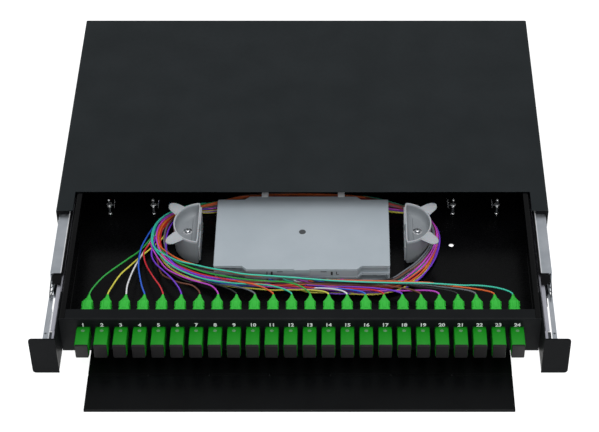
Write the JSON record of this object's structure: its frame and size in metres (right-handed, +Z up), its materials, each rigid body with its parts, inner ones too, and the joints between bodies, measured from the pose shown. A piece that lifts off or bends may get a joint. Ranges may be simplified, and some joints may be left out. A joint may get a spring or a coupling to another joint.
{
  "type": "fiber distribution box",
  "caption": "Flat rack-mount fibre patch drawer on ball slides, with green adapters along its front, splice trays and fibre spools inside, side ears and a hinged front flap.",
  "frame": {"origin": "centre of the sleeve's underside", "axes": "+Z up, -Y towards the front where the drawer comes out, +X to the right seen from the front"},
  "size_m": [0.4826, 0.5087, 0.0444],
  "materials": {
    "charcoal_paint": "fine powder coat, satin",
    "zinc_steel": "zinc plated, satin",
    "bright_steel": "bright nickel plate",
    "green_plastic": "moulded, semi-gloss",
    "pale_plastic": "moulded, satin",
    "natural_plastic": "moulded, slightly translucent",
    "fibre_jacket": "thin coloured jackets"
  },
  "bodies": {
    "housing": {"housing_shell": "charcoal_paint", "housing_base": "charcoal_paint", "slide_outer_left": "zinc_steel", "slide_outer_right": "zinc_steel"},
    "drawer": {"drawer_tray": "charcoal_paint", "front_panel": "charcoal_paint", "hinge_pin": "zinc_steel", "ear_left": "charcoal_paint", "ear_right": "charcoal_paint", "ear_arm_left": "zinc_steel", "ear_arm_right": "zinc_steel", "slide_inner_left": "zinc_steel", "slide_inner_right": "zinc_steel", "adapter_01": "green_plastic", "adapter_02": "green_plastic", "adapter_03": "green_plastic", "adapter_04": "green_plastic", "adapter_05": "green_plastic", "adapter_06": "green_plastic", "adapter_07": "green_plastic", "adapter_08": "green_plastic", "adapter_09": "green_plastic", "adapter_10": "green_plastic", "adapter_11": "green_plastic", "adapter_12": "green_plastic", "adapter_13": "green_plastic", "adapter_14": "green_plastic", "adapter_15": "green_plastic", "adapter_16": "green_plastic", "adapter_17": "green_plastic", "adapter_18": "green_plastic", "adapter_19": "green_plastic", "adapter_20": "green_plastic", "adapter_21": "green_plastic", "adapter_22": "green_plastic", "adapter_23": "green_plastic", "adapter_24": "green_plastic", "splice_tray_lower": "pale_plastic", "splice_tray_upper": "pale_plastic", "splice_tray_lid": "pale_plastic", "spool_left": "natural_plastic", "spool_right": "natural_plastic", "spool_screw_left": "bright_steel", "spool_screw_right": "bright_steel", "cable_clamp_1": "bright_steel", "cable_clamp_2": "bright_steel", "cable_clamp_3": "bright_steel", "cable_clamp_4": "bright_steel", "fibre_harness": "fibre_jacket"},
    "flap": {"flap": "charcoal_paint"},
    "middle_left": {"slide_middle_left": "zinc_steel"},
    "middle_right": {"slide_middle_right": "zinc_steel"},
    "inner_cage_left": {"inner_ball_cage_left": "zinc_steel"},
    "inner_cage_right": {"inner_ball_cage_right": "zinc_steel"},
    "outer_cage_left": {"outer_ball_strip_top_left": "zinc_steel", "outer_ball_strip_bottom_left": "zinc_steel"},
    "outer_cage_right": {"outer_ball_strip_top_right": "zinc_steel", "outer_ball_strip_bottom_right": "zinc_steel"}
  },
  "joints": [
    {"name": "drawer_slide", "type": "slide", "parent": "housing", "child": "drawer", "axis": [0, 1, 0], "range_m": [0, 0.165]},
    {"name": "flap_hinge", "type": "hinge", "parent": "drawer", "child": "flap", "pos_m": [0, -0.31935, 0.0012], "axis": [-1, 0, 0], "range_deg": [0, 90]},
    {"name": "middle_slide_left", "type": "slide", "parent": "housing", "child": "middle_left", "axis": [0, 1, 0], "range_m": [0, 0.0825]},
    {"name": "middle_slide_right", "type": "slide", "parent": "housing", "child": "middle_right", "axis": [0, 1, 0], "range_m": [0, 0.0825]},
    {"name": "inner_cage_slide_left", "type": "slide", "parent": "housing", "child": "inner_cage_left", "axis": [0, 1, 0], "range_m": [0, 0.12375]},
    {"name": "inner_cage_slide_right", "type": "slide", "parent": "housing", "child": "inner_cage_right", "axis": [0, 1, 0], "range_m": [0, 0.12375]},
    {"name": "outer_cage_slide_left", "type": "slide", "parent": "housing", "child": "outer_cage_left", "axis": [0, 1, 0], "range_m": [0, 0.04125]},
    {"name": "outer_cage_slide_right", "type": "slide", "parent": "housing", "child": "outer_cage_right", "axis": [0, 1, 0], "range_m": [0, 0.04125]}
  ],
  "couplings": [
    {"joint": "middle_slide_left", "follows": "drawer_slide", "ratio": 0.5},
    {"joint": "middle_slide_right", "follows": "drawer_slide", "ratio": 0.5},
    {"joint": "inner_cage_slide_left", "follows": "drawer_slide", "ratio": 0.75},
    {"joint": "inner_cage_slide_right", "follows": "drawer_slide", "ratio": 0.75},
    {"joint": "outer_cage_slide_left", "follows": "drawer_slide", "ratio": 0.25},
    {"joint": "outer_cage_slide_right", "follows": "drawer_slide", "ratio": 0.25}
  ]
}
